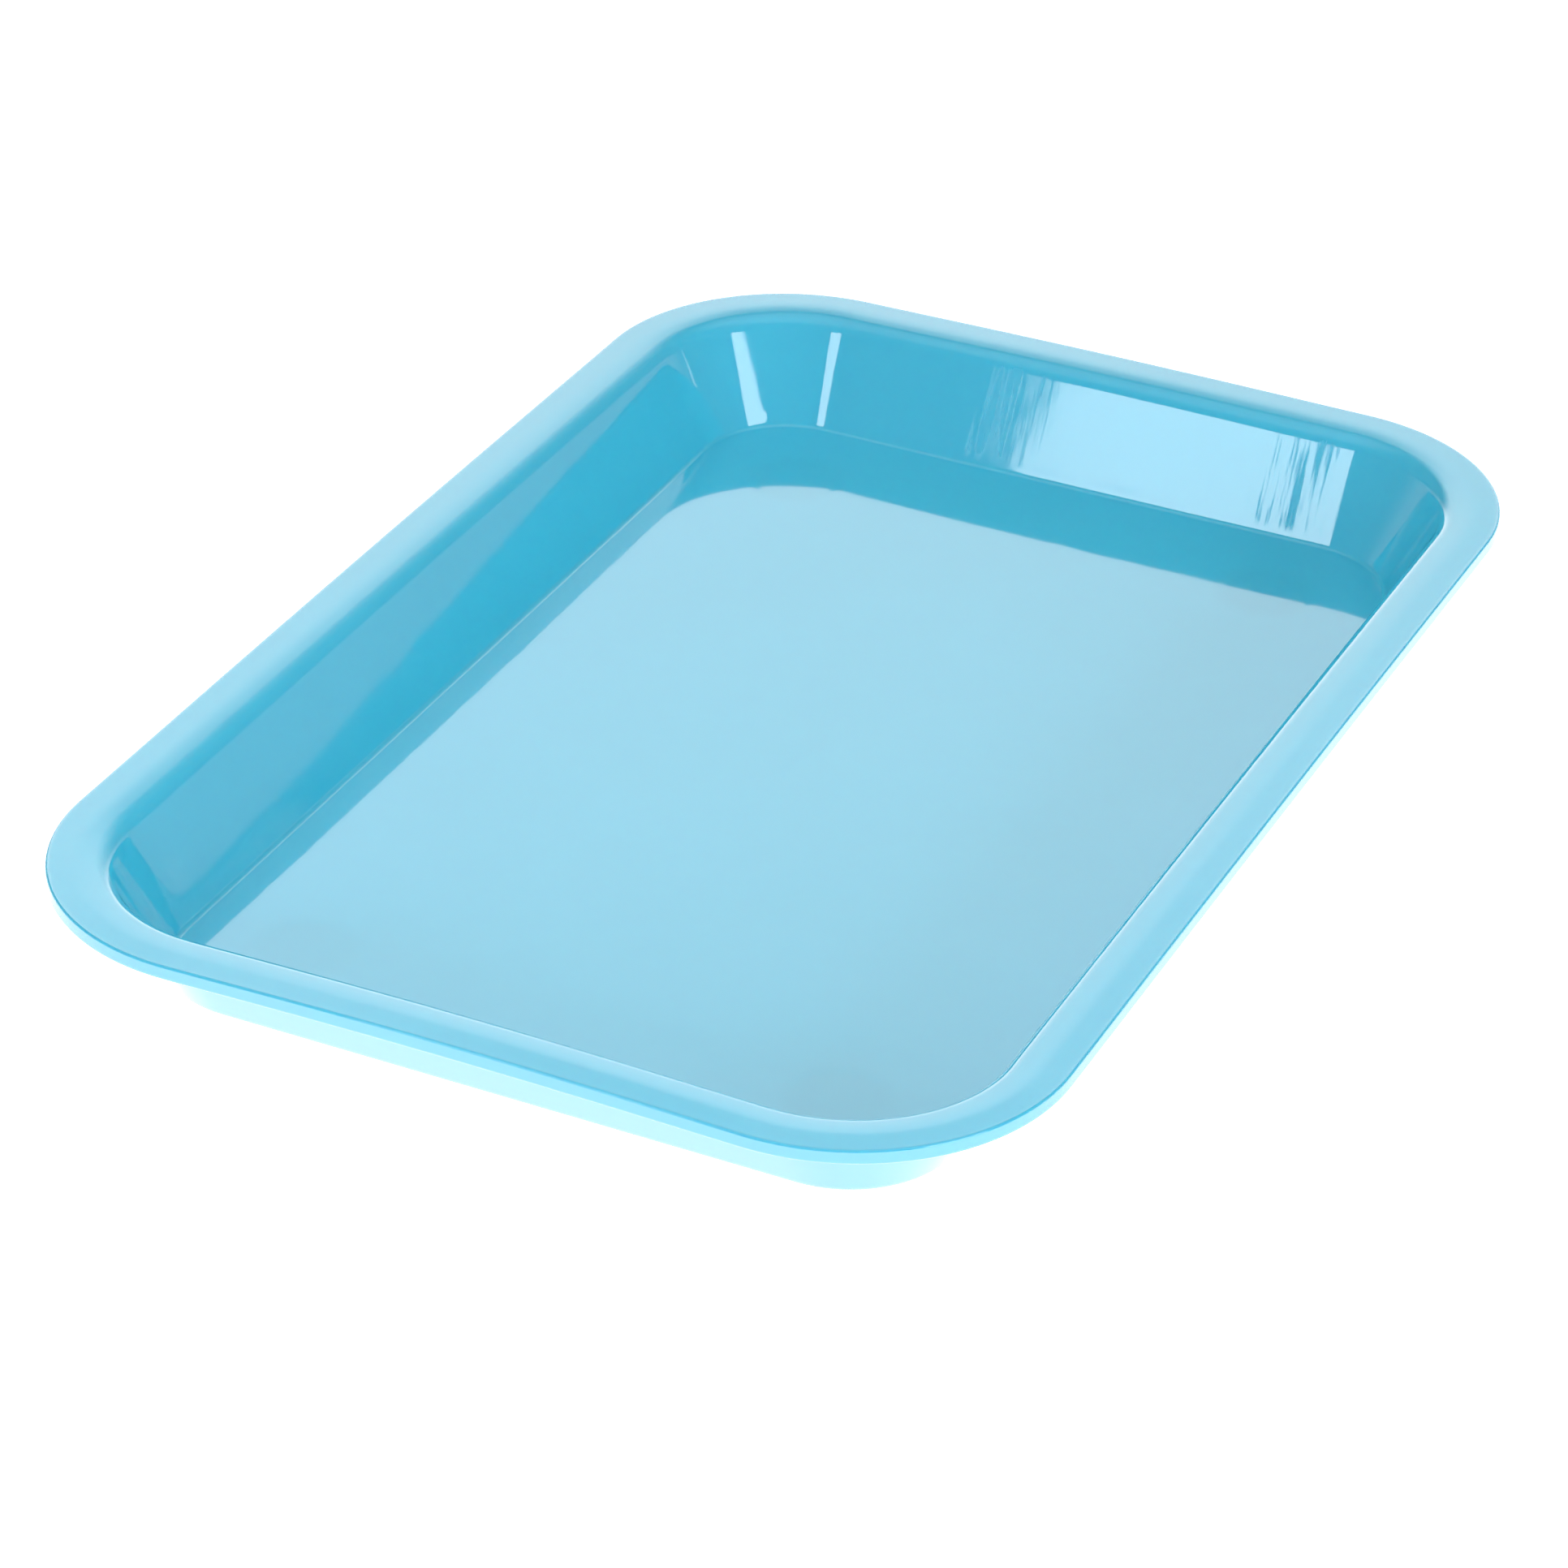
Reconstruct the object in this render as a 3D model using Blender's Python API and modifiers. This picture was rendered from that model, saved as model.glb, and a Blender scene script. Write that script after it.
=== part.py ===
"""Shallow rectangular moulded tray with a broad rim, standing on four anti-slip foot pads.

Units are metres and +Z is up. The origin lies on the surface that the tray stands on, under the
tray's middle. The long sides run along X, the short sides along Y, and -X is the front.
"""

import math

import bmesh
import bpy
from mathutils import Matrix, Vector

MM = 0.001

# Rim outline seen from above, over the lower edge of the turned-down skirt.
TRAY_LENGTH = 350.0 * MM
TRAY_WIDTH = 232.0 * MM
RIM_CORNER_RADIUS = 49.0 * MM

# Section through a side, from the skirt's lower edge in to the floor.
SHELL_THICKNESS = 2.2 * MM
SKIRT_DROP = 3.4 * MM                # below the sharp corner of rim and skirt
SKIRT_DRAFT = math.radians(4.0)      # from upright
SKIRT_INNER_RADIUS = 0.4 * MM        # underneath, where the rim turns down
RIM_WIDTH = 13.2 * MM                # skirt to the sharp corner of rim and wall
RIM_SLOPE = math.radians(2.0)        # the rim falls outwards
CREST_RADIUS = 5.0 * MM              # where the rim bends down into the wall
INNER_DEPTH = 26.4 * MM              # sharp corner of rim and wall to the floor's upper face
WALL_DRAFT = math.radians(26.6)      # from upright
FLOOR_FILLET = 1.8 * MM              # inside, where the wall meets the floor

# Foot pads, each one bonded in a shallow round seat under a corner.
PAD_DIAMETER = 21.0 * MM
PAD_THICKNESS = 1.8 * MM
PAD_EDGE_RADIUS = 0.4 * MM
PAD_INSET = 4.0 * MM                 # from the rim corner's arc centre, along both X and Y
SEAT_CLEARANCE = 0.3 * MM            # around the pad
GLUE_GAP = 0.3 * MM                  # above the pad
SEAT_DEPTH = 1.0 * MM                # from the collar's lower face
COLLAR_HEIGHT = 0.5 * MM             # below the tray's underside
COLLAR_WALL = 1.7 * MM               # around the seat

# Smoothness: the number of facets in each round stretch.
RIM_CORNER_FACETS = 16
SKIRT_FACETS = 4
CREST_FACETS = 6
FLOOR_FACETS = 3
FOOT_FACETS = 48
PAD_EDGE_FACETS = 3

# Colours are linear RGB.
TRAY_COLOUR = (0.048, 0.413, 0.617)
TRAY_ROUGHNESS = 0.08
PAD_COLOUR = (0.085, 0.082, 0.078)
PAD_ROUGHNESS = 0.75

# What follows from the sizes above.
PAD_STANDOFF = PAD_THICKNESS + GLUE_GAP - SEAT_DEPTH      # the collar's height off the surface
UNDERSIDE_Z = PAD_STANDOFF + COLLAR_HEIGHT
FLOOR_Z = UNDERSIDE_Z + SHELL_THICKNESS
SEAT_RADIUS = PAD_DIAMETER / 2 + SEAT_CLEARANCE
COLLAR_RADIUS = SEAT_RADIUS + COLLAR_WALL
PAD_X = TRAY_LENGTH / 2 - RIM_CORNER_RADIUS - PAD_INSET
PAD_Y = TRAY_WIDTH / 2 - RIM_CORNER_RADIUS - PAD_INSET

# The front is at -X, so the left side, seen from the front, is at +Y.
FOOT_PLACES = {
    "front_left": (-PAD_X, PAD_Y),
    "front_right": (-PAD_X, -PAD_Y),
    "back_left": (PAD_X, PAD_Y),
    "back_right": (PAD_X, -PAD_Y),
}


def clear_scene():
    """Remove every object that the file opened with."""
    for item in list(bpy.data.objects):
        bpy.data.objects.remove(item, do_unlink=True)


def new_collection(name):
    """Return a new collection linked to the scene."""
    collection = bpy.data.collections.new(name)
    bpy.context.scene.collection.children.link(collection)
    return collection


def principled(name, colour, roughness):
    """Return a Principled material for a plastic or rubber piece."""
    material = bpy.data.materials.new(name)
    material.use_nodes = True
    shader = material.node_tree.nodes["Principled BSDF"]
    shader.inputs["Base Color"].default_value = (*colour, 1.0)
    shader.inputs["Roughness"].default_value = roughness
    shader.inputs["Metallic"].default_value = 0.0
    material.diffuse_color = (*colour, 1.0)
    return material


def mesh_object(name, bm, collection, material=None):
    """Turn a bmesh into a named, smooth-shaded object."""
    mesh = bpy.data.meshes.new(name)
    bm.to_mesh(mesh)
    bm.free()
    mesh.shade_smooth()
    mesh.set_sharp_from_angle(angle=math.radians(35.0))
    if material:
        mesh.materials.append(material)
    item = bpy.data.objects.new(name, mesh)
    collection.objects.link(item)
    return item


def rounded_corner(before, corner, after, radius, facets):
    """Return the points of an arc that rounds a corner between two straight runs."""
    to_before = (before - corner).normalized()
    to_after = (after - corner).normalized()
    half_angle = to_before.angle(to_after) / 2
    centre = corner + (to_before + to_after).normalized() * (radius / math.sin(half_angle))
    first = corner + to_before * (radius / math.tan(half_angle)) - centre
    last = corner + to_after * (radius / math.tan(half_angle)) - centre
    turn = first.angle_signed(last)
    points = []
    for step in range(facets + 1):
        share = turn * step / facets
        points.append(centre + first * math.cos(share) + Vector((first.y, -first.x)) * math.sin(share))
    return points


def section_points():
    """Return the shell's outer section as (distance in from the skirt's edge, height) points."""
    rim_corner_z = FLOOR_Z + INNER_DEPTH
    skirt_run = SKIRT_DROP * math.tan(SKIRT_DRAFT)
    skirt_top_z = rim_corner_z - (RIM_WIDTH - skirt_run) * math.tan(RIM_SLOPE)
    wall_run = INNER_DEPTH * math.tan(WALL_DRAFT)
    skirt_foot = Vector((0.0, skirt_top_z - SKIRT_DROP))
    skirt_top = Vector((skirt_run, skirt_top_z))
    crest = Vector((RIM_WIDTH, rim_corner_z))
    floor_edge = Vector((RIM_WIDTH + wall_run, FLOOR_Z))
    floor_beyond = Vector((floor_edge.x + wall_run, FLOOR_Z))
    skirt_radius = SKIRT_INNER_RADIUS + SHELL_THICKNESS
    points = [skirt_foot]
    points += rounded_corner(skirt_foot, skirt_top, crest, skirt_radius, SKIRT_FACETS)
    points += rounded_corner(skirt_top, crest, floor_edge, CREST_RADIUS, CREST_FACETS)
    points += rounded_corner(crest, floor_edge, floor_beyond, FLOOR_FILLET, FLOOR_FACETS)
    return points


def tray_surface():
    """Inset a rounded rectangle again and again, so that its rings follow the section."""
    section = section_points()
    bm = bmesh.new()
    size = Matrix.Diagonal((TRAY_LENGTH, TRAY_WIDTH, 1.0, 1.0))
    place = Matrix.Translation((0.0, 0.0, section[0].y))
    bmesh.ops.create_grid(bm, x_segments=1, y_segments=1, size=0.5, matrix=place @ size)
    bmesh.ops.bevel(bm, geom=list(bm.verts), offset=RIM_CORNER_RADIUS, offset_type='OFFSET',
                    segments=RIM_CORNER_FACETS, profile=0.5, affect='VERTICES')
    bm.faces.ensure_lookup_table()
    inner = bm.faces[0]
    for outer_point, inner_point in zip(section, section[1:]):
        bmesh.ops.inset_region(bm, faces=[inner], thickness=inner_point.x - outer_point.x,
                               use_boundary=True, use_even_offset=True)
        bmesh.ops.translate(bm, verts=inner.verts, vec=(0.0, 0.0, inner_point.y - outer_point.y))
    bmesh.ops.recalc_face_normals(bm, faces=bm.faces)
    if inner.normal.z < 0.0:
        bmesh.ops.reverse_faces(bm, faces=bm.faces)
    return bm


def foot_discs(name, radius, low_z, high_z, collection):
    """Return one tool object with a round disc at each foot."""
    bm = bmesh.new()
    for x, y in FOOT_PLACES.values():
        place = Matrix.Translation((x, y, (low_z + high_z) / 2))
        bmesh.ops.create_cone(bm, cap_ends=True, segments=FOOT_FACETS, radius1=radius, radius2=radius,
                              depth=high_z - low_z, matrix=place)
    tool = mesh_object(name, bm, collection)
    tool.hide_render = True
    tool.display_type = 'WIRE'
    return tool


def add_boolean(item, tool, operation):
    """Add an exact Boolean modifier."""
    modifier = item.modifiers.new(tool.name, 'BOOLEAN')
    modifier.operation = operation
    modifier.solver = 'EXACT'
    modifier.object = tool


def build_tray(collection, tools):
    """Build the moulding: floor, walls, rim, skirt and the four pad seats."""
    material = principled("glossy_turquoise_plastic", TRAY_COLOUR, TRAY_ROUGHNESS)
    tray = mesh_object("tray_body", tray_surface(), collection, material)
    shell = tray.modifiers.new("shell", 'SOLIDIFY')
    shell.thickness = SHELL_THICKNESS
    shell.offset = -1.0
    shell.use_even_offset = True
    shell.use_quality_normals = True

    middle_z = UNDERSIDE_Z + SHELL_THICKNESS / 2
    collars = foot_discs("seat_collars", COLLAR_RADIUS, PAD_STANDOFF, middle_z, tools)
    seats = foot_discs("pad_seats", SEAT_RADIUS, PAD_STANDOFF - SEAT_DEPTH, PAD_STANDOFF + SEAT_DEPTH, tools)
    add_boolean(tray, collars, 'UNION')
    add_boolean(tray, seats, 'DIFFERENCE')
    return tray


def pad_mesh_source():
    """Return a pad that stands on its origin, with its lower edge rounded."""
    bm = bmesh.new()
    place = Matrix.Translation((0.0, 0.0, PAD_THICKNESS / 2))
    bmesh.ops.create_cone(bm, cap_ends=True, segments=FOOT_FACETS, radius1=PAD_DIAMETER / 2,
                          radius2=PAD_DIAMETER / 2, depth=PAD_THICKNESS, matrix=place)
    lower_edge = [edge for edge in bm.edges if all(abs(vert.co.z) < 1e-7 for vert in edge.verts)]
    bmesh.ops.bevel(bm, geom=lower_edge, offset=PAD_EDGE_RADIUS, offset_type='OFFSET',
                    segments=PAD_EDGE_FACETS, profile=0.5, affect='EDGES')
    return bm


def build_pads(collection):
    """Build one foot pad for each seat; the four share one mesh."""
    material = principled("anti_slip_rubber", PAD_COLOUR, PAD_ROUGHNESS)
    first = None
    pads = []
    for place_name, (x, y) in FOOT_PLACES.items():
        name = "foot_pad_" + place_name
        if first is None:
            first = mesh_object(name, pad_mesh_source(), collection, material)
            pad = first
        else:
            pad = bpy.data.objects.new(name, first.data)
            collection.objects.link(pad)
        pad.location = (x, y, 0.0)
        pads.append(pad)
    return pads


def main():
    clear_scene()
    collection = new_collection("shallow_tray")
    tools = new_collection("cutters")
    root = bpy.data.objects.new("shallow_tray_root", None)
    collection.objects.link(root)
    pieces = [build_tray(collection, tools)]
    pieces += build_pads(collection)
    for piece in pieces:
        piece.parent = root


if __name__ == "__main__":
    main()
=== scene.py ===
"""Shallow glossy plastic tray on four anti-slip foot pads, with its light table and camera.

Lengths are metres and +Z is up. The tray stands on z = 0 with its long sides along X; the front
end is at -X and the left side at +Y. Each piece is made by its own operator, and the sizes and
colours that a user would change are properties of the scene.
"""

import math

import bmesh
import bpy
from bpy.props import FloatProperty, FloatVectorProperty, IntProperty, PointerProperty
from bpy.types import Operator, Panel, PropertyGroup
from mathutils import Matrix, Vector
from mathutils.geometry import delaunay_2d_cdt


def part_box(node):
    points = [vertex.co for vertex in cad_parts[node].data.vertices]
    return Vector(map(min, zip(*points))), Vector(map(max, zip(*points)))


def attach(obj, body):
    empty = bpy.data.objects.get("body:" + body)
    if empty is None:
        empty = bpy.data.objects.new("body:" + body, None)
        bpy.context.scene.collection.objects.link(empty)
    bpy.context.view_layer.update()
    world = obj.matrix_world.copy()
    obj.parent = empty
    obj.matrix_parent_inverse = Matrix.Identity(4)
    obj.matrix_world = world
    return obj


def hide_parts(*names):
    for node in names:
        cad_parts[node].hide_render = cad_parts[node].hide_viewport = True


bl_info = {
    "name": "Shallow moulded tray",
    "version": (1, 0, 0),
    "blender": (4, 5, 0),
    "location": "3D View > Sidebar > Tray",
    "description": "Builds a glossy moulded tray, its foot pads and a light table to show it on",
    "category": "Object",
}

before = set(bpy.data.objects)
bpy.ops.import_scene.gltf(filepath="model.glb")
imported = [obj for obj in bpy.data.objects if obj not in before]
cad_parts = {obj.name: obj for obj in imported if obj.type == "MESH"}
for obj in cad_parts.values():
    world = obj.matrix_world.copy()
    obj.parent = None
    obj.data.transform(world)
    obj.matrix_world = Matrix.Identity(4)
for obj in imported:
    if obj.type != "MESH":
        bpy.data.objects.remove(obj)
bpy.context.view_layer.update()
TRAY_LOW, TRAY_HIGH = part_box("tray_body")
PAD_LOW, PAD_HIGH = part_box("foot_pad_front_left")

MM = 0.001
PAD_NODES = ("foot_pad_front_left", "foot_pad_front_right",
             "foot_pad_back_left", "foot_pad_back_right")
FLOOR_HEIGHT = 3.8 * MM               # of the floor's upper face off the table
RUN_ATTRIBUTE = "outline_place"       # X, Y: point of the rim outline; Z: length along the section

# The moulding's section.
FLOOR_START = 6.0 * MM                # the section starts this far in from the floor's sharp edge
SUPPORT = 0.25 * MM                   # from each arc's end to the point that holds its flat neighbour
CLOSEST = 0.02 * MM                   # points nearer than this are left out
OUTLINE_FACETS = 48                   # in each corner of the outline, before it is stepped
CROWN_POWER = 1.3
CROWN_FADE = 3.0                      # a crown is full a third of the way round the corner

# Sink marks in the floor, one over each pad.
DISH_MARGIN = 1.6 * MM                # beyond the pad's edge
DISH_FADE = 2.2 * MM
DISH_RINGS = 10
DISH_RING_STEP = 0.4 * MM
DISH_FIRST_RING = -4                  # in steps from the pad's edge

# Seats and pads.
ROOT_MARGIN = 1.0 * MM
COLLAR_FILLET = 0.2 * MM
SEAT_FILLET = 0.15 * MM
GROOVE_PLACES = (0.82, 0.64, 0.46, 0.28)      # shares of the pad's radius
GROOVE_DEPTH = 0.12 * MM
GROOVE_HALF_WIDTH = 0.35 * MM
GROOVE_HALF_FLOOR = 0.1 * MM

# Patterns in the plastic: how fine each one is, and how far it darkens or lightens the colour.
CLOUD_SCALE = 22.0
MOTTLE_SCALE = 260.0
HAZE_SCALE = 60.0
FINE_SCALE = 420.0
BROAD_SCALE = 60.0
FINE_STRETCH = (1.0, 1.0, 0.06)       # along X, along Y and up the section
BROAD_STRETCH = (1.0, 1.0, 0.15)
DARKEST = 0.96
LIGHTEST = 1.04
# Painted shade of each foot pad seen through the floor: full out to the core, gone at the edge.
FOOT_SHADE_CORE = 8.0 * MM
FOOT_SHADE_EDGE = 15.0 * MM
GRAIN_SCALE = 2600.0                  # of the rubber
DUST_SCALE = 180.0

# Waviness of the moulded face, as heights, and the drag marks on the inside of the back wall. The
# marks' places are measured across the wall, and they lean by DRAG_LEAN for each length up it.
FINE_WAVE = 0.006 * MM
BROAD_WAVE = 0.03 * MM
RIPPLE = 0.1 * MM
DRAG_LEAN = 0.25
DRAG_RIGHT_MIDDLE = -54.0 * MM
DRAG_RIGHT_REACH = 13.0 * MM
DRAG_LEFT_START = 6.0 * MM
DRAG_LEFT_RISE = 24.0 * MM
DRAG_LEFT_END = 38.0 * MM
DRAG_LEFT_FALL = 8.0 * MM
DRAG_THRESHOLD = 0.5
DRAG_STROKES = 3.6                    # how strongly single strokes break the marks up
DRAG_SOFTNESS = 0.8
DRAG_DULLNESS = 0.34                  # roughness that a full mark adds

# Lights: name, middle, width, depth, the setting that holds its brightness, and whether the gloss
# shows it. The fill lights stand for the rest of a large bright room.
LIGHTS = (
    ("left_soft_box", (-0.82, 0.31, 0.48), 0.16, 0.12, "box_light", True),
    ("right_soft_box", (-0.35, -0.90, 0.43), 0.46, 0.24, "box_light", True),
    ("edge_strip_near", (0.40, -0.75, 0.15), 0.035, 0.12, "strip_light", True),
    ("edge_strip_far", (0.61, -0.65, 0.15), 0.035, 0.12, "strip_light", True),
    ("top_fill", (-0.42, 0.10, 1.00), 1.3, 1.3, "top_fill", False),
    ("front_fill", (-1.50, -0.10, 0.42), 0.9, 0.6, "front_fill", False),
    ("side_fill", (0.05, -1.50, 0.42), 0.9, 0.6, "side_fill", False),
)
CAMERA_WHITE = 1.2                    # what the camera sees of the sky
TABLE_HALF_SIZE = 6.0
TABLE_GAP = 0.1 * MM                  # between the table and the pads


# ---------------------------------------------------------------------------------------------
# Settings


def length(name, description, default):
    """A length property in metres."""
    return FloatProperty(name=name, description=description, default=default, min=0.0,
                         unit='LENGTH', precision=5)


def angle(name, description, degrees):
    """An angle property, given in degrees."""
    return FloatProperty(name=name, description=description, default=math.radians(degrees), subtype='ANGLE')


def share(name, description, default, high=1.0):
    """A plain number from nought up."""
    return FloatProperty(name=name, description=description, default=default, min=0.0, soft_max=high,
                         subtype='FACTOR' if high == 1.0 else 'NONE')


def colour(name, description, default):
    """A linear RGB colour property."""
    return FloatVectorProperty(name=name, description=description, default=default, size=3, min=0.0,
                               soft_max=1.0, subtype='COLOR')


class TrayShape(PropertyGroup):
    """Sizes of the moulded shell."""

    tray_length: length("Length", "Over the skirt's lower edge, along X", TRAY_HIGH.x - TRAY_LOW.x)
    tray_width: length("Width", "Over the skirt's lower edge, along Y", TRAY_HIGH.y - TRAY_LOW.y)
    corner_radius: length("Corner radius", "Rim outline's corners", 49.0 * MM)
    shell_thickness: length("Thickness", "Of every wall of the moulding", 2.2 * MM)
    underside_z: length("Underside height", "Of the underside off the surface it stands on", 1.6 * MM)
    skirt_drop: length("Skirt drop", "Turned-down skirt, below the rim's sharp corner", 3.4 * MM)
    skirt_draft: angle("Skirt draft", "From upright", 4.0)
    skirt_inner_radius: length("Skirt inner radius", "Underneath, where the rim turns down", 0.4 * MM)
    shoulder_radius: length("Shoulder radius", "On top, where the rim turns down", 0.6 * MM)
    skirt_edge_radius: length("Skirt edge radius", "On both edges of the skirt's foot", 0.75 * MM)
    rim_width: length("Rim width", "From the skirt to the sharp corner of rim and wall", 13.2 * MM)
    rim_slope: angle("Rim slope", "Fall of the rim towards its outside", 2.0)
    ridge_inset: length("Ridge inset", "From the rim's ridge in to the corner of rim and wall", 5.6 * MM)
    ridge_fall: angle("Ridge fall", "Fall of the rim from its ridge towards the well", 9.0)
    ridge_radius: length("Ridge radius", "Over the rim's ridge", 23.0 * MM)
    crest_radius: length("Crest radius", "Where the rim bends down into the wall", 5.4 * MM)
    inner_depth: length("Inner depth", "From the rim's ridge to the floor",
                        TRAY_HIGH.z - FLOOR_HEIGHT)
    wall_draft: angle("Wall draft", "From upright", 26.6)
    floor_fillet: length("Floor fillet", "Inside, where the wall meets the floor", 1.3 * MM)
    outline_step: length("Outline step", "Between sections along the rim", 2.4 * MM)
    corner_sag: length("Corner sag", "Dip of the rim's corners below its highest point", 1.0 * MM)
    front_crown: length("Front crown", "Rise of the front rim's middle over its corners", 1.0 * MM)
    back_crown: length("Back crown", "Rise of the back rim's middle over its corners", 0.5 * MM)
    side_crown: length("Side crown", "Rise of the side rims' middles over their corners", 0.6 * MM)
    sink_depth: length("Sink depth", "Dish left in the floor over each foot", 0.015 * MM)


class FootShape(PropertyGroup):
    """Sizes of the foot pads and of the seats that hold them."""

    pad_diameter: length("Pad diameter", "Round anti-slip pad", PAD_HIGH.x - PAD_LOW.x)
    pad_thickness: length("Pad thickness", "Of which the lower part stands proud", PAD_HIGH.z - PAD_LOW.z)
    pad_edge_radius: length("Pad edge radius", "Lower edge", 0.4 * MM)
    seat_clearance: length("Seat clearance", "Around the pad", 0.3 * MM)
    seat_depth: length("Seat depth", "From the collar's lower face", 1.0 * MM)
    collar_height: length("Collar height", "Below the tray's underside", 0.5 * MM)
    collar_wall: length("Collar wall", "Around the seat", 1.7 * MM)
    facets: IntProperty(name="Facets", description="Around each pad and seat", default=72, min=12)


class Finish(PropertyGroup):
    """Colours and surface finish."""

    plastic: colour("Plastic", "Moulded plastic", (0.046, 0.404, 0.560))
    plastic_roughness: share("Gloss roughness", "Of the moulded plastic's polished face", 0.05)
    milkiness: length("Milkiness", "How far light wanders inside the plastic", 0.6 * MM)
    streaks: share("Drag marks", "Dullness of the drag marks on the back wall", 1.0)
    rubber: colour("Rubber", "Foot pads", (0.085, 0.082, 0.078))
    rubber_roughness: share("Rubber roughness", "Foot pads", 0.75)


class Studio(PropertyGroup):
    """Light table, soft lights and camera."""

    table_light: share("Table light", "Brightness of the light table", 1.6, 10.0)
    far_light: share("Far light", "Brightness of the backdrop panel", 2.0, 10.0)
    near_light: share("Near light", "Brightness of the rest of the studio", 0.2, 10.0)
    ceiling_light: share("Ceiling light", "Brightness that the sky gains overhead", 0.4, 10.0)
    horizon_light: share("Horizon light", "Brightness that the sky gains near the table", 0.4, 10.0)
    top_fill: share("Top fill", "Brightness of the light overhead", 1.9, 50.0)
    front_fill: share("Front fill", "Brightness of the low light in front", 7.3, 50.0)
    side_fill: share("Side fill", "Brightness of the low light on the right", 8.6, 50.0)
    box_light: share("Soft box light", "Brightness of the soft boxes", 3.2, 20.0)
    strip_light: share("Strip light", "Brightness of the two thin strips on the right", 1.2, 20.0)
    azimuth: angle("Azimuth", "Of the camera, round from -Y towards +X", -65.05)
    elevation: angle("Elevation", "Of the camera above the table", 31.00)
    roll: angle("Roll", "Of the camera about its own axis", 1.27)
    distance: length("Distance", "From the camera to what it aims at", 1232.0 * MM)
    aim: FloatVectorProperty(name="Aim", description="Point that the camera aims at", size=3,
                             default=(-7.10 * MM, 4.21 * MM, 0.0), unit='LENGTH', precision=5)
    focal_length: FloatProperty(name="Focal length", description="In millimetres, on a 36 mm sensor",
                                default=124.35, min=1.0)


# ---------------------------------------------------------------------------------------------
# Node trees


class Value:
    """A socket that carries a number, so that sums on it are written as Python expressions."""

    def __init__(self, wiring, socket):
        self.wiring = wiring
        self.socket = socket

    def _math(self, operation, *operands):
        return self.wiring.value("ShaderNodeMath", {"operation": operation}, dict(enumerate(operands)))

    def __add__(self, other):
        return self._math('ADD', self, other)

    def __radd__(self, other):
        return self._math('ADD', other, self)

    def __sub__(self, other):
        return self._math('SUBTRACT', self, other)

    def __rsub__(self, other):
        return self._math('SUBTRACT', other, self)

    def __mul__(self, other):
        return self._math('MULTIPLY', self, other)

    def __rmul__(self, other):
        return self._math('MULTIPLY', other, self)

    def __truediv__(self, other):
        return self._math('DIVIDE', self, other)

    def __rtruediv__(self, other):
        return self._math('DIVIDE', other, self)

    def power(self, exponent):
        return self._math('POWER', self, exponent)

    def at_least(self, other):
        return self._math('MAXIMUM', self, other)

    def at_most(self, other):
        return self._math('MINIMUM', self, other)

    def magnitude(self):
        return self._math('ABSOLUTE', self)

    def rise(self, low, high):
        """Nought below low and one above high, with a smooth step between them."""
        return self.wiring.value("ShaderNodeMapRange", {"interpolation_type": 'SMOOTHSTEP'},
                                 {"Value": self, "From Min": low, "From Max": high})


class Wiring:
    """Adds nodes to a tree."""

    def __init__(self, tree):
        self.tree = tree
        tree.nodes.clear()

    def node(self, kind, settings=None, inputs=None):
        """Add a node: its settings first, then the values or links of its sockets."""
        node = self.tree.nodes.new(kind)
        for name, setting in (settings or {}).items():
            setattr(node, name, setting)
        for name, given in (inputs or {}).items():
            self.feed(node.inputs[name], given)
        return node

    def value(self, kind, settings=None, inputs=None, output=0):
        """Add a node and return one of its outputs as a number."""
        return Value(self, self.node(kind, settings, inputs).outputs[output])

    def feed(self, socket, given):
        """Link a socket, or set its own value."""
        if isinstance(given, Value):
            given = given.socket
        if isinstance(given, bpy.types.NodeSocket):
            self.tree.links.new(given, socket)
        else:
            socket.default_value = given

    def noise(self, vector, scale, detail=2.0, roughness=0.5):
        """A noise pattern as a number around one half."""
        return self.value("ShaderNodeTexNoise", {"noise_dimensions": '3D'},
                          {"Vector": vector, "Scale": scale, "Detail": detail, "Roughness": roughness})

    def stretched(self, vector, scale):
        """A vector with each of its parts scaled."""
        return self.node("ShaderNodeMapping", None, {"Vector": vector, "Scale": scale}).outputs[0]

    def tint(self, factor, first, second):
        """A colour that goes from the first to the second. Each is a colour or a socket."""
        first, second = (tone if isinstance(tone, bpy.types.NodeSocket) else (*tone, 1.0)
                         for tone in (first, second))
        mix = self.node("ShaderNodeMix", {"data_type": 'RGBA'}, {0: factor, 6: first, 7: second})
        return mix.outputs[2]


def new_material(name):
    """Return a material and the wiring of its emptied tree."""
    material = bpy.data.materials.new(name)
    material.use_nodes = True
    return material, Wiring(material.node_tree)


def parts_of(wiring, vector):
    """Return a vector's three parts as numbers."""
    outputs = wiring.node("ShaderNodeSeparateXYZ", None, {"Vector": vector}).outputs
    return [Value(wiring, socket) for socket in outputs]


def drag_marks(run_y, climb, strokes):
    """Return how dull the back wall's face is: one mark right of its middle and one left of it."""
    slanted = run_y + climb * DRAG_LEAN
    right = 1.0 - (slanted - DRAG_RIGHT_MIDDLE).magnitude() / DRAG_RIGHT_REACH
    left = (slanted - DRAG_LEFT_START) / DRAG_LEFT_RISE
    left = left.at_most((DRAG_LEFT_END - slanted) / DRAG_LEFT_FALL).at_most(1.0)
    broken = right.at_least(left) - DRAG_THRESHOLD + (strokes - 0.5) * DRAG_STROKES
    return broken.rise(0.0, DRAG_SOFTNESS)


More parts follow.
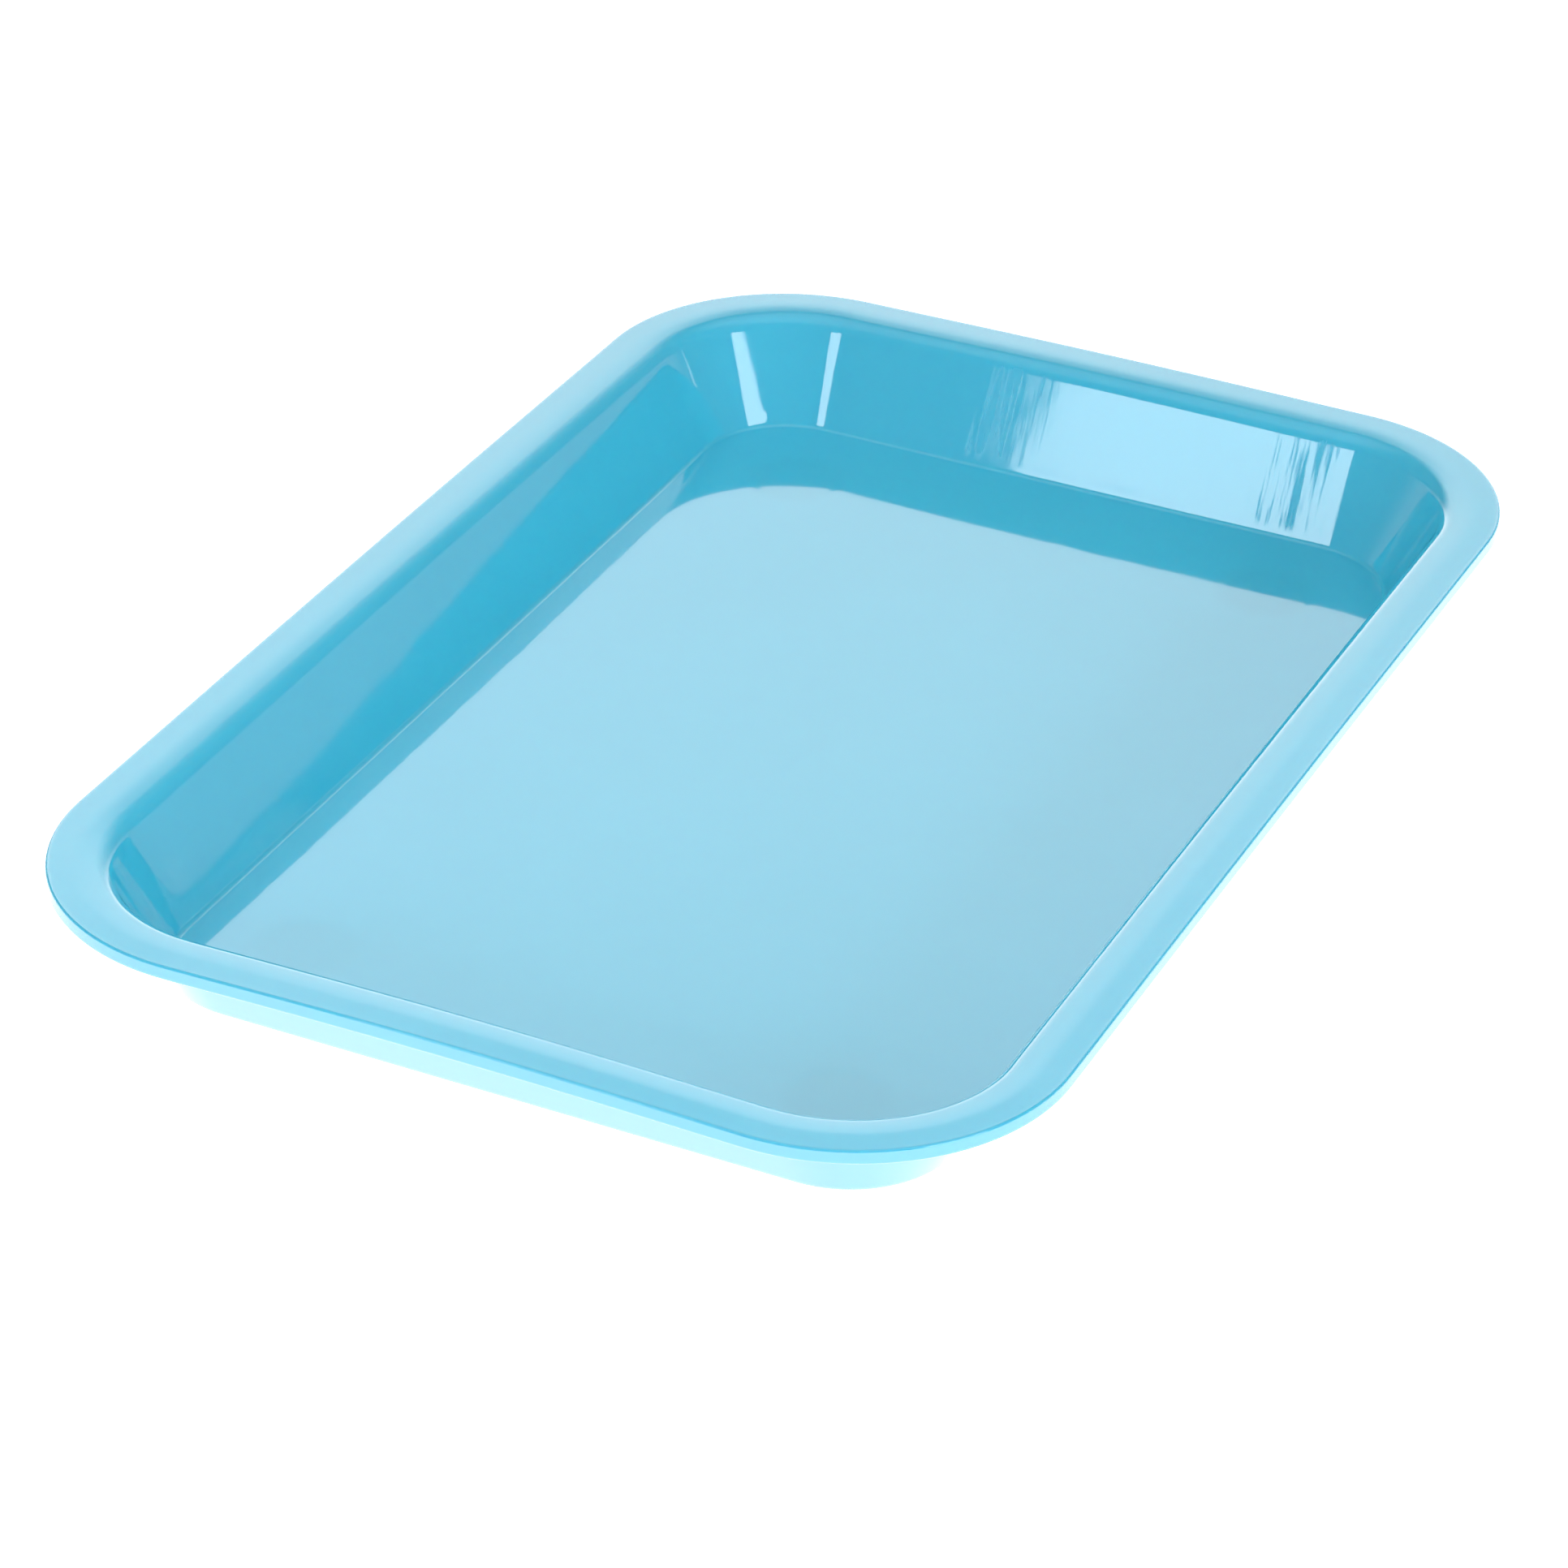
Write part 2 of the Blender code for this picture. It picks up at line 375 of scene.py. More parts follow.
def plastic_material(finish, shape):
    """Glossy, slightly milky plastic: faint flow clouds, wavy walls, drag marks on the back wall, and a
    painted shade over each foot pad.

    The outside has a clear coat, from the shoulder of the rim round to the underside.
    """
    material, wiring = new_material("glossy_turquoise_plastic")
    place = wiring.node("ShaderNodeTexCoord").outputs["Object"]
    run = wiring.node("ShaderNodeAttribute", {"attribute_name": RUN_ATTRIBUTE}).outputs["Vector"]
    x, y, height = parts_of(wiring, place)
    run_x, run_y, climb = parts_of(wiring, run)

    clouds = wiring.noise(place, CLOUD_SCALE, 3.0)
    mottle = wiring.noise(place, MOTTLE_SCALE, 2.0)
    deep = tuple(part * DARKEST for part in finish.plastic)
    light = tuple(part * LIGHTEST for part in finish.plastic)
    base = wiring.tint(clouds * 0.8 + mottle * 0.2, deep, light)

    # Painted shade: a slightly darker disc over each foot pad, where the pad shades the light that comes up
    # through the floor.
    foot = foot_places()[-1]
    off_x = x.magnitude() - abs(foot.x)
    off_y = y.magnitude() - abs(foot.y)
    from_foot = (off_x * off_x + off_y * off_y).power(0.5)
    painted_foot_shade = 1.0 - from_foot.rise(FOOT_SHADE_CORE, FOOT_SHADE_EDGE)
    base = wiring.tint(painted_foot_shade, base, deep)

    # The walls are slightly wavy, in long ripples that run up them.
    floor_z = shape.underside_z + shape.shell_thickness
    on_wall = height.rise(floor_z + 1.0 * MM, floor_z + 4.0 * MM)
    fine = wiring.noise(wiring.stretched(run, FINE_STRETCH), FINE_SCALE, 3.0, 0.6)
    broad = wiring.noise(wiring.stretched(run, BROAD_STRETCH), BROAD_SCALE, 1.0)
    waviness = (fine * FINE_WAVE + broad * BROAD_WAVE) * on_wall
    bump = wiring.node("ShaderNodeBump", None,
                       {"Strength": 1.0, "Distance": 1.0, "Height": waviness + clouds * RIPPLE})

    shoulder = section_length(shape)
    inside = 1.0 - climb.rise(shoulder - 8.0 * MM, shoulder - 4.0 * MM)
    below_rim = 1.0 - height.rise(TRAY_HIGH.z - 5.0 * MM, TRAY_HIGH.z)
    on_back = run_x.rise(-10.0 * MM, 10.0 * MM) * on_wall * below_rim * inside
    dragged = drag_marks(run_y, climb, fine) * on_back
    haze = wiring.noise(place, HAZE_SCALE, 3.0, 0.6)
    polish = finish.plastic_roughness * (0.7 + haze * 0.6)

    shader = wiring.node("ShaderNodeBsdfPrincipled", {"subsurface_method": 'RANDOM_WALK'}, {
        "Base Color": base,
        "Roughness": polish + dragged * finish.streaks * DRAG_DULLNESS,
        "IOR": 1.6,
        "Specular IOR Level": 1.0,
        "Subsurface Weight": 1.0,
        "Subsurface Radius": (0.25, 0.8, 1.0),
        "Subsurface Scale": finish.milkiness,
        "Coat Weight": climb.rise(shoulder - 1.0 * MM, shoulder + 0.5 * MM),
        "Coat Roughness": 0.08,
        "Coat IOR": 1.8,
        "Normal": bump.outputs[0],
    })
    wiring.node("ShaderNodeOutputMaterial", None, {"Surface": shader.outputs[0]})
    return material


def rubber_material(finish):
    """Dull dark rubber with a fine grain and a little dust."""
    material, wiring = new_material("dark_anti_slip_rubber")
    place = wiring.node("ShaderNodeTexCoord").outputs["Object"]
    grain = wiring.noise(place, GRAIN_SCALE, 3.0, 0.6)
    dust = wiring.noise(place, DUST_SCALE, 4.0, 0.6).rise(0.48, 0.72)
    dusty = tuple(part * 1.8 + 0.02 for part in finish.rubber)
    bump = wiring.node("ShaderNodeBump", None, {"Strength": 0.6, "Distance": 0.00012, "Height": grain})
    shader = wiring.node("ShaderNodeBsdfPrincipled", None, {
        "Base Color": wiring.tint(dust * 0.5 + grain * 0.2, finish.rubber, dusty),
        "Roughness": finish.rubber_roughness - 0.12 + grain * 0.2,
        "Normal": bump.outputs[0],
    })
    wiring.node("ShaderNodeOutputMaterial", None, {"Surface": shader.outputs[0]})
    return material


# ---------------------------------------------------------------------------------------------
# Shapes


def rounded_corner(before, corner, after, radius, facets):
    """Return the points of an arc that rounds a corner between two straight runs."""
    to_before = (before - corner).normalized()
    to_after = (after - corner).normalized()
    half_angle = to_before.angle(to_after) / 2
    centre = corner + (to_before + to_after).normalized() * (radius / math.sin(half_angle))
    first = corner + to_before * (radius / math.tan(half_angle)) - centre
    last = corner + to_after * (radius / math.tan(half_angle)) - centre
    turn = first.angle_signed(last)
    points = []
    for step in range(facets + 1):
        swing = turn * step / facets
        points.append(centre + first * math.cos(swing) + Vector((first.y, -first.x)) * math.sin(swing))
    return points


def offset_corner(before, corner, after, distance):
    """Return where a corner goes when both of its runs move to their right by a distance."""
    normals = []
    for start, end in ((before, corner), (corner, after)):
        run = (end - start).normalized()
        normals.append(Vector((run.y, -run.x)))
    return corner + (normals[0] + normals[1]) * (distance / (1.0 + normals[0].dot(normals[1])))


def shell_section(shape):
    """Return the closed-off section as (distance in from the skirt's edge, height) points.

    It starts on the floor's upper face, goes over the rim and ends on the underside.
    """
    floor_z = shape.underside_z + shape.shell_thickness
    ridge_x = shape.rim_width - shape.ridge_inset
    ridge_z = floor_z + shape.inner_depth
    crest_z = ridge_z - shape.ridge_inset * math.tan(shape.ridge_fall)
    skirt_run = shape.skirt_drop * math.tan(shape.skirt_draft)
    skirt_top_z = ridge_z - (ridge_x - skirt_run) * math.tan(shape.rim_slope)
    wall_run = (crest_z - floor_z) * math.tan(shape.wall_draft)

    foot = Vector((0.0, skirt_top_z - shape.skirt_drop))
    skirt_top = Vector((skirt_run, skirt_top_z))
    ridge = Vector((ridge_x, ridge_z))
    crest = Vector((shape.rim_width, crest_z))
    floor_edge = Vector((shape.rim_width + wall_run, floor_z))
    floor_middle = Vector((floor_edge.x + FLOOR_START, floor_z))
    upper = [floor_middle, floor_edge, crest, ridge, skirt_top, foot]

    below_foot = foot + (foot - skirt_top)
    chain = upper + [below_foot]
    thickness = shape.shell_thickness
    lower = [offset_corner(*chain[i - 1:i + 2], -thickness) for i in range(1, 5)]
    skirt_across = (foot - skirt_top).normalized()
    inner_foot = foot + Vector((-skirt_across.y, skirt_across.x)) * thickness
    lower_middle = Vector((floor_middle.x, shape.underside_z))

    corners = upper + [inner_foot] + lower[::-1] + [lower_middle]
    radii = [shape.floor_fillet, shape.crest_radius, shape.ridge_radius, shape.shoulder_radius,
             shape.skirt_edge_radius, shape.skirt_edge_radius, shape.skirt_inner_radius,
             shape.ridge_radius - thickness, shape.crest_radius - thickness, shape.floor_fillet + thickness]
    facets = [8, 14, 8, 12, 6, 6, 4, 4, 8, 8]
    points = [floor_middle]
    for index, (radius, count) in enumerate(zip(radii, facets), start=1):
        arc = rounded_corner(corners[index - 1], corners[index], corners[index + 1], radius, count)
        lead_in = (corners[index - 1] - corners[index]).normalized() * SUPPORT
        lead_out = (corners[index + 1] - corners[index]).normalized() * SUPPORT
        for point in [arc[0] + lead_in, *arc, arc[-1] + lead_out]:
            if (point - points[-1]).length > CLOSEST:
                points.append(point)
    points.append(Vector((points[0].x, shape.underside_z)))
    return points


def section_length(shape):
    """Return the length along the section from its start to the top of the skirt's face."""
    points = shell_section(shape)
    shoulder = next(i for i, point in enumerate(points) if point.x < shape.shoulder_radius)
    return sum((after - before).length for before, after in zip(points[:shoulder], points[1:shoulder + 1]))


def section_curve(shape):
    """Make the section as a curve object for the shell's tree.

    A swept section's X points out of the outline and its Y down, so both are turned round.
    """
    points = shell_section(shape)
    data = bpy.data.curves.new("shell_section", 'CURVE')
    data.dimensions = '3D'
    spline = data.splines.new('POLY')
    spline.points.add(len(points) - 1)
    for target, point in zip(spline.points, points):
        target.co = (-point.x, -point.y, 0.0, 1.0)
    item = bpy.data.objects.new("shell_section", data)
    bpy.context.scene.collection.objects.link(item)
    return item


def shell_tree():
    """Node tree that sweeps a section round a rounded rectangle."""
    tree = bpy.data.node_groups.new("moulded_shell", 'GeometryNodeTree')
    sockets = {}
    for name, kind in (("Length", 'NodeSocketFloat'), ("Width", 'NodeSocketFloat'),
                       ("Corner Radius", 'NodeSocketFloat'), ("Outline Step", 'NodeSocketFloat'),
                       ("Section", 'NodeSocketObject'), ("Plastic", 'NodeSocketMaterial')):
        sockets[name] = tree.interface.new_socket(name, in_out='INPUT', socket_type=kind).identifier
    tree.interface.new_socket("Geometry", in_out='OUTPUT', socket_type='NodeSocketGeometry')
    wiring = Wiring(tree)
    given = wiring.node("NodeGroupInput").outputs
    outline = wiring.node("GeometryNodeCurvePrimitiveQuadrilateral", {"mode": 'RECTANGLE'},
                          {"Width": given["Length"], "Height": given["Width"]})
    rounded = wiring.node("GeometryNodeFilletCurve", {"mode": 'POLY'}, {
        "Curve": outline.outputs[0], "Radius": given["Corner Radius"], "Count": OUTLINE_FACETS})
    stepped = wiring.node("GeometryNodeResampleCurve", {"mode": 'LENGTH'}, {
        "Curve": rounded.outputs[0], "Length": given["Outline Step"]})
    on_outline = wiring.node("GeometryNodeCaptureAttribute", {"domain": 'POINT'})
    on_outline.capture_items.new('VECTOR', "Place")
    wiring.feed(on_outline.inputs["Geometry"], stepped.outputs[0])
    wiring.feed(on_outline.inputs["Place"], wiring.node("GeometryNodeInputPosition").outputs[0])

    section = wiring.node("GeometryNodeObjectInfo", None, {"Object": given["Section"]})
    on_section = wiring.node("GeometryNodeCaptureAttribute", {"domain": 'POINT'})
    on_section.capture_items.new('FLOAT', "Climb")
    wiring.feed(on_section.inputs["Geometry"], section.outputs["Geometry"])
    wiring.feed(on_section.inputs["Climb"], wiring.node("GeometryNodeSplineParameter").outputs["Length"])

    swept = wiring.node("GeometryNodeCurveToMesh", None, {
        "Curve": on_outline.outputs["Geometry"], "Profile Curve": on_section.outputs["Geometry"]})
    parts = wiring.node("ShaderNodeSeparateXYZ", None, {"Vector": on_outline.outputs["Place"]})
    place = wiring.node("ShaderNodeCombineXYZ", None, {
        "X": parts.outputs[0], "Y": parts.outputs[1], "Z": on_section.outputs["Climb"]})
    stored = wiring.node("GeometryNodeStoreNamedAttribute",
                         {"data_type": 'FLOAT_VECTOR', "domain": 'POINT'},
                         {"Geometry": swept.outputs[0], "Name": RUN_ATTRIBUTE, "Value": place.outputs[0]})
    real = wiring.node("GeometryNodeRealizeInstances", None, {"Geometry": stored.outputs[0]})
    finished = wiring.node("GeometryNodeSetMaterial", None, {
        "Geometry": real.outputs[0], "Material": given["Plastic"]})
    wiring.node("NodeGroupOutput", None, {"Geometry": finished.outputs[0]})
    return tree, sockets


def sweep_shell(shape, material):
    """Run the shell's tree and return its result as a plain mesh."""
    section = section_curve(shape)
    tree, sockets = shell_tree()
    carrier = bpy.data.objects.new("shell_carrier", bpy.data.meshes.new("shell_carrier"))
    bpy.context.scene.collection.objects.link(carrier)
    modifier = carrier.modifiers.new("shell", 'NODES')
    modifier.node_group = tree
    for name, setting in (("Length", shape.tray_length), ("Width", shape.tray_width),
                          ("Corner Radius", shape.corner_radius), ("Outline Step", shape.outline_step),
                          ("Section", section), ("Plastic", material)):
        modifier[sockets[name]] = setting
    mesh = bpy.data.meshes.new_from_object(carrier.evaluated_get(bpy.context.evaluated_depsgraph_get()))
    carrier.modifiers.clear()
    for helper in (carrier, section):
        bpy.data.objects.remove(helper, do_unlink=True)
    if not mesh.polygons:
        raise RuntimeError("the shell's node tree gave no faces")
    return mesh


def foot_places():
    """Return the middle of each foot in plan, from the frame."""
    places = []
    for node in PAD_NODES:
        low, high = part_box(node)
        places.append(Vector(((low.x + high.x) / 2, (low.y + high.y) / 2)))
    return places


def circle(middle, radius, facets):
    """Return points round a circle in plan."""
    return [middle + Vector((math.cos(turn), math.sin(turn))) * radius
            for turn in (2 * math.pi * step / facets for step in range(facets))]


def boundary_loops(bm):
    """Return the open edge loops of a mesh as lists of verts in order."""
    left = {edge for edge in bm.edges if edge.is_boundary}
    loops = []
    while left:
        edge = left.pop()
        loop = [edge.verts[0], edge.verts[1]]
        while True:
            onward = next((e for e in loop[-1].link_edges if e in left), None)
            if onward is None:
                break
            left.remove(onward)
            loop.append(onward.other_vert(loop[-1]))
        loops.append(loop[:-1] if loop[-1] is loop[0] else loop)
    return loops


def fill_sheet(bm, loop, rings, height_at, holes=()):
    """Fill a loop with triangles that carry rings of points, each raised by height_at(point).

    Rings named in holes stay open; they are returned as lists of verts.
    """
    points = [vert.co.xy for vert in loop]
    edges = [(i, (i + 1) % len(loop)) for i in range(len(loop))]
    starts = []
    for ring in rings:
        start = len(points)
        starts.append((start, len(ring)))
        points.extend(ring)
        edges.extend((start + i, start + (i + 1) % len(ring)) for i in range(len(ring)))
    solved, _, faces, origins, _, _ = delaunay_2d_cdt(points, edges, [], 1, 1e-8)
    verts = []
    for point, origin in zip(solved, origins):
        if origin and origin[0] < len(loop):
            verts.append(loop[origin[0]])
        else:
            verts.append(bm.verts.new((point.x, point.y, height_at(point))))
    lookup = {source: index for index, origin in enumerate(origins) for source in origin}
    middles = [sum(rings[i], Vector((0.0, 0.0))) / len(rings[i]) for i in holes]
    sizes = [(rings[i][0] - middle).length for i, middle in zip(holes, middles)]
    for face in faces:
        middle = sum((solved[i] for i in face), Vector((0.0, 0.0))) / len(face)
        if any((middle - hole).length < size for hole, size in zip(middles, sizes)):
            continue
        bm.faces.new([verts[i] for i in face])
    return [[verts[lookup[starts[i][0] + step]] for step in range(starts[i][1])] for i in holes]


def add_ring(bm, previous, middle, radius, height):
    """Join a ring of verts to a new ring round a foot, and return the new one."""
    facets = len(previous)
    ring = [bm.verts.new((point.x, point.y, height)) for point in circle(middle, radius, facets)]
    for step in range(facets):
        onward = (step + 1) % facets
        bm.faces.new((previous[step], previous[onward], ring[onward], ring[step]))
    return ring


def seat_profile(shape, feet):
    """Return (radius, height) points from the collar's root, round its foot and up to the seat's top."""
    seat_radius = feet.pad_diameter / 2 + feet.seat_clearance
    collar_radius = seat_radius + feet.collar_wall
    standoff = shape.underside_z - feet.collar_height
    root = Vector((collar_radius + ROOT_MARGIN, shape.underside_z))
    corner = Vector((collar_radius, shape.underside_z))
    outer = Vector((collar_radius, standoff))
    inner = Vector((seat_radius, standoff))
    top = Vector((seat_radius, standoff + feet.seat_depth))
    centre = Vector((0.0, top.y))
    points = [root]
    points += rounded_corner(root, corner, outer, SEAT_FILLET, 3)
    points += rounded_corner(corner, outer, inner, COLLAR_FILLET, 4)
    points += rounded_corner(outer, inner, top, SEAT_FILLET, 3)
    points += rounded_corner(inner, top, centre, SEAT_FILLET, 3)
    points += [Vector((seat_radius * share_of_radius, top.y)) for share_of_radius in (0.9, 0.5)]
    return points


def sag_rim(verts, shape):
    """Let the rim dip towards the corners, as a moulding does when it cools; the floor stays level."""
    floor_z = shape.underside_z + shape.shell_thickness
    half_length = shape.tray_length / 2
    half_width = shape.tray_width / 2
    straight_x = half_length - shape.corner_radius
    straight_y = half_width - shape.corner_radius

    def swell(distance, reach):
        return max(0.0, 1.0 - (distance / reach) ** 2) ** CROWN_POWER

    for vert in verts:
        x, y, z = vert.co
        end_crown = shape.front_crown if x < 0.0 else shape.back_crown
        near_end = max(0.0, (abs(x) - straight_x) / shape.corner_radius)
        near_side = max(0.0, (abs(y) - straight_y) / shape.corner_radius)
        rise = (end_crown * swell(y, straight_y) * min(1.0, near_end * CROWN_FADE)
                + shape.side_crown * swell(x, straight_x) * min(1.0, near_side * CROWN_FADE))
        height = max(0.0, min(1.0, (z - floor_z) / shape.inner_depth))
        vert.co.z = z - max(0.0, shape.corner_sag - rise) * height


def close_with_cap(bm, ring):
    """Close a ring with one face."""
    bm.faces.new(ring)


def build_shell_mesh(shape, feet, material):
    """Sweep the shell, then add the floor with its sink marks and the underside with its seats."""
    mesh = sweep_shell(shape, material)
    bm = bmesh.new()
    bm.from_mesh(mesh)
    run_layer = bm.verts.layers.float_vector[RUN_ATTRIBUTE]
    floor_z = shape.underside_z + shape.shell_thickness
    bmesh.ops.remove_doubles(bm, verts=bm.verts, dist=1e-7)
    swept = set(bm.verts)
    sag_rim(swept, shape)
    loops = boundary_loops(bm)
    upper = max(loops, key=lambda loop: loop[0].co.z)
    lower = min(loops, key=lambda loop: loop[0].co.z)

    places = foot_places()
    pad_radius = feet.pad_diameter / 2

    def floor_height(point):
        gap = min((point - place).length for place in places)
        dish = max(0.0, min(1.0, (pad_radius + DISH_MARGIN - gap) / DISH_FADE))
        return floor_z - shape.sink_depth * dish * dish * (3.0 - 2.0 * dish)

    dish_rings = [circle(place, pad_radius + (DISH_FIRST_RING + step) * DISH_RING_STEP, feet.facets)
                  for place in places for step in range(DISH_RINGS)]
    fill_sheet(bm, upper, dish_rings, floor_height)

    profile = seat_profile(shape, feet)
    roots = [circle(place, profile[0].x, feet.facets) for place in places]
    open_rings = fill_sheet(bm, lower, roots, lambda point: shape.underside_z, holes=range(len(roots)))
    for place, ring in zip(places, open_rings):
        for point in profile[1:]:
            ring = add_ring(bm, ring, place, point.x, point.y)
        close_with_cap(bm, ring)
    section_end = max(vert[run_layer].z for vert in swept)
    mid_floor = (floor_z + shape.underside_z) / 2
    for vert in bm.verts:
        if vert not in swept:
            climb = 0.0 if vert.co.z > mid_floor else section_end
            vert[run_layer] = (vert.co.x, vert.co.y, climb)
    bmesh.ops.recalc_face_normals(bm, faces=bm.faces)
    loose = [edge for edge in bm.edges if len(edge.link_faces) != 2]
    if loose:
        raise RuntimeError(f"the shell is open or folded along {len(loose)} edges")
    if bm.calc_volume(signed=True) < 0.0:
        bmesh.ops.reverse_faces(bm, faces=bm.faces)
    bm.to_mesh(mesh)
    bm.free()
    mesh.shade_smooth()
    mesh.set_sharp_from_angle(angle=math.radians(50.0))
    return mesh


def add_piece(name, mesh, material, node):
    """Show a mesh in place of a CAD node."""
    mesh.name = name
    if not mesh.materials:
        mesh.materials.append(material)
    piece = bpy.data.objects.new(name, mesh)
    bpy.context.scene.collection.objects.link(piece)
    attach(piece, "root")
    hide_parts(node)
    return piece


def pad_profile(feet):
    """Return (radius, height) points of a pad, from the middle of its top to the middle of its foot."""
    radius = feet.pad_diameter / 2
    thickness = feet.pad_thickness
    top_middle = Vector((0.0, thickness))
    top_edge = Vector((radius, thickness))
    foot_edge = Vector((radius, 0.0))
    foot_middle = Vector((0.0, 0.0))
    points = [Vector((radius * 0.5, thickness))]
    points += rounded_corner(top_middle, top_edge, foot_edge, 0.15 * MM, 3)
    points += rounded_corner(top_edge, foot_edge, foot_middle, feet.pad_edge_radius, 6)
    for share_of_radius in GROOVE_PLACES:
        middle = radius * share_of_radius
        points += [Vector((middle + GROOVE_HALF_WIDTH, 0.0)),
                   Vector((middle + GROOVE_HALF_FLOOR, GROOVE_DEPTH)),
                   Vector((middle - GROOVE_HALF_FLOOR, GROOVE_DEPTH)),
                   Vector((middle - GROOVE_HALF_WIDTH, 0.0))]
    return points


def build_pad_mesh(feet, place):
    """Turn a pad's profile round its middle."""
    bm = bmesh.new()
    profile = pad_profile(feet)
    ring = [bm.verts.new((point.x, point.y, profile[0].y))
            for point in circle(place, profile[0].x, feet.facets)]
    close_with_cap(bm, ring)
    for point in profile[1:]:
        ring = add_ring(bm, ring, place, point.x, point.y)
    close_with_cap(bm, ring)
    bmesh.ops.recalc_face_normals(bm, faces=bm.faces)
    mesh = bpy.data.meshes.new("foot_pad")
    bm.to_mesh(mesh)
    bm.free()
    mesh.shade_smooth()
    mesh.set_sharp_from_angle(angle=math.radians(35.0))
    return mesh


# ---------------------------------------------------------------------------------------------
# Stage


def far_direction(studio):
    """Return the level direction that the camera looks in."""
    return Vector((-math.sin(studio.azimuth), math.cos(studio.azimuth), 0.0))


def build_world(studio):
    """Sky that is bright behind and above the tray and dim on the camera's side."""
    world = bpy.data.worlds.new("soft_studio")
    world.use_nodes = True
    wiring = Wiring(world.node_tree)
    direction = wiring.node("ShaderNodeTexCoord").outputs["Generated"]
    climb = wiring.value("ShaderNodeSeparateXYZ", None, {"Vector": direction}, 2)
    far = far_direction(studio)
    level = (1.0 - climb * climb).at_least(1e-4).power(0.5)
    behind = wiring.value("ShaderNodeVectorMath", {"operation": 'DOT_PRODUCT'},
                          {0: direction, 1: far}, "Value") / level
    aside = wiring.value("ShaderNodeVectorMath", {"operation": 'DOT_PRODUCT'},
                         {0: direction, 1: Vector((far.y, -far.x, 0.0))}, "Value") / level
    # The panel behind the tray fades out upwards and to both sides; each pair of numbers is where
    # a fade starts and ends, as the sine of a height above the table or of a turn aside.
    under_top = 1.0 - climb.rise(0.50, 0.80)
    across = aside.rise(-0.55, -0.25) * (1.0 - aside.rise(0.0, 0.80)) * behind.rise(0.0, 0.3)
    seen = wiring.value("ShaderNodeLightPath", None, None, "Is Camera Ray")
    strength = (studio.near_light + (studio.far_light - studio.near_light) * under_top * across
                + climb.rise(0.75, 0.95) * studio.ceiling_light
                + (1.0 - climb.rise(0.10, 0.24)) * studio.horizon_light)
    lit = strength * (1.0 - seen) + seen * CAMERA_WHITE
    background = wiring.node("ShaderNodeBackground", None, {"Color": (1.0, 1.0, 1.0, 1.0), "Strength": lit})
    wiring.node("ShaderNodeOutputWorld", None, {"Surface": background.outputs[0]})
    bpy.context.scene.world = world


def build_table(studio):
    """Bright table that the tray stands on."""
    bm = bmesh.new()
    bmesh.ops.create_grid(bm, x_segments=1, y_segments=1, size=TABLE_HALF_SIZE,
                          matrix=Matrix.Translation((0.0, 0.0, -TABLE_GAP)))
    mesh = bpy.data.meshes.new("light_table")
    bm.to_mesh(mesh)
    bm.free()
    material, wiring = new_material("light_table_white")
    glow = wiring.node("ShaderNodeEmission", None, {
        "Color": (1.0, 1.0, 1.0, 1.0), "Strength": studio.table_light})
    wiring.node("ShaderNodeOutputMaterial", None, {"Surface": glow.outputs[0]})
    mesh.materials.append(material)
    table = bpy.data.objects.new("light_table", mesh)
    bpy.context.scene.collection.objects.link(table)


def build_soft_box(name, middle, width, depth, radiance, in_gloss):
    """Flat rectangular light that faces the tray. A fill light doesn't show in the gloss."""
    data = bpy.data.lights.new(name, 'AREA')
    data.shape = 'RECTANGLE'
    data.size = width
    data.size_y = depth
    data.energy = radiance * math.pi * width * depth
    box = bpy.data.objects.new(name, data)
    box.location = middle
    box.rotation_euler = (-Vector(middle)).to_track_quat('-Z', 'Y').to_euler()
    box.visible_camera = False
    box.visible_glossy = in_gloss
    bpy.context.scene.collection.objects.link(box)


def build_camera(studio):
    """Camera that looks down on the tray from its front right."""
    data = bpy.data.cameras.new("camera")
    data.lens = studio.focal_length
    data.sensor_width = 36.0
    data.clip_start = 0.01
    data.clip_end = 100.0
    level = math.cos(studio.elevation)
    back = Vector((math.sin(studio.azimuth) * level, -math.cos(studio.azimuth) * level,
                   math.sin(studio.elevation)))
    camera = bpy.data.objects.new("camera", data)
    turn = (-back).to_track_quat('-Z', 'Y').to_matrix() @ Matrix.Rotation(studio.roll, 3, 'Z')
    camera.matrix_world = Matrix.Translation(Vector(studio.aim) + back * studio.distance) @ turn.to_4x4()
    bpy.context.scene.collection.objects.link(camera)
    bpy.context.scene.camera = camera


# ---------------------------------------------------------------------------------------------
# Operators


class TRAY_OT_shell(Operator):
    """Build the moulded tray"""

    bl_idname = "tray.build_shell"
    bl_label = "Tray shell"

    def execute(self, context):
        """Make the shell and show it in place of the CAD one."""
        settings = context.scene
        material = plastic_material(settings.tray_finish, settings.tray_shape)
        mesh = build_shell_mesh(settings.tray_shape, settings.tray_feet, material)
        add_piece("tray_shell", mesh, material, "tray_body")
        return {'FINISHED'}


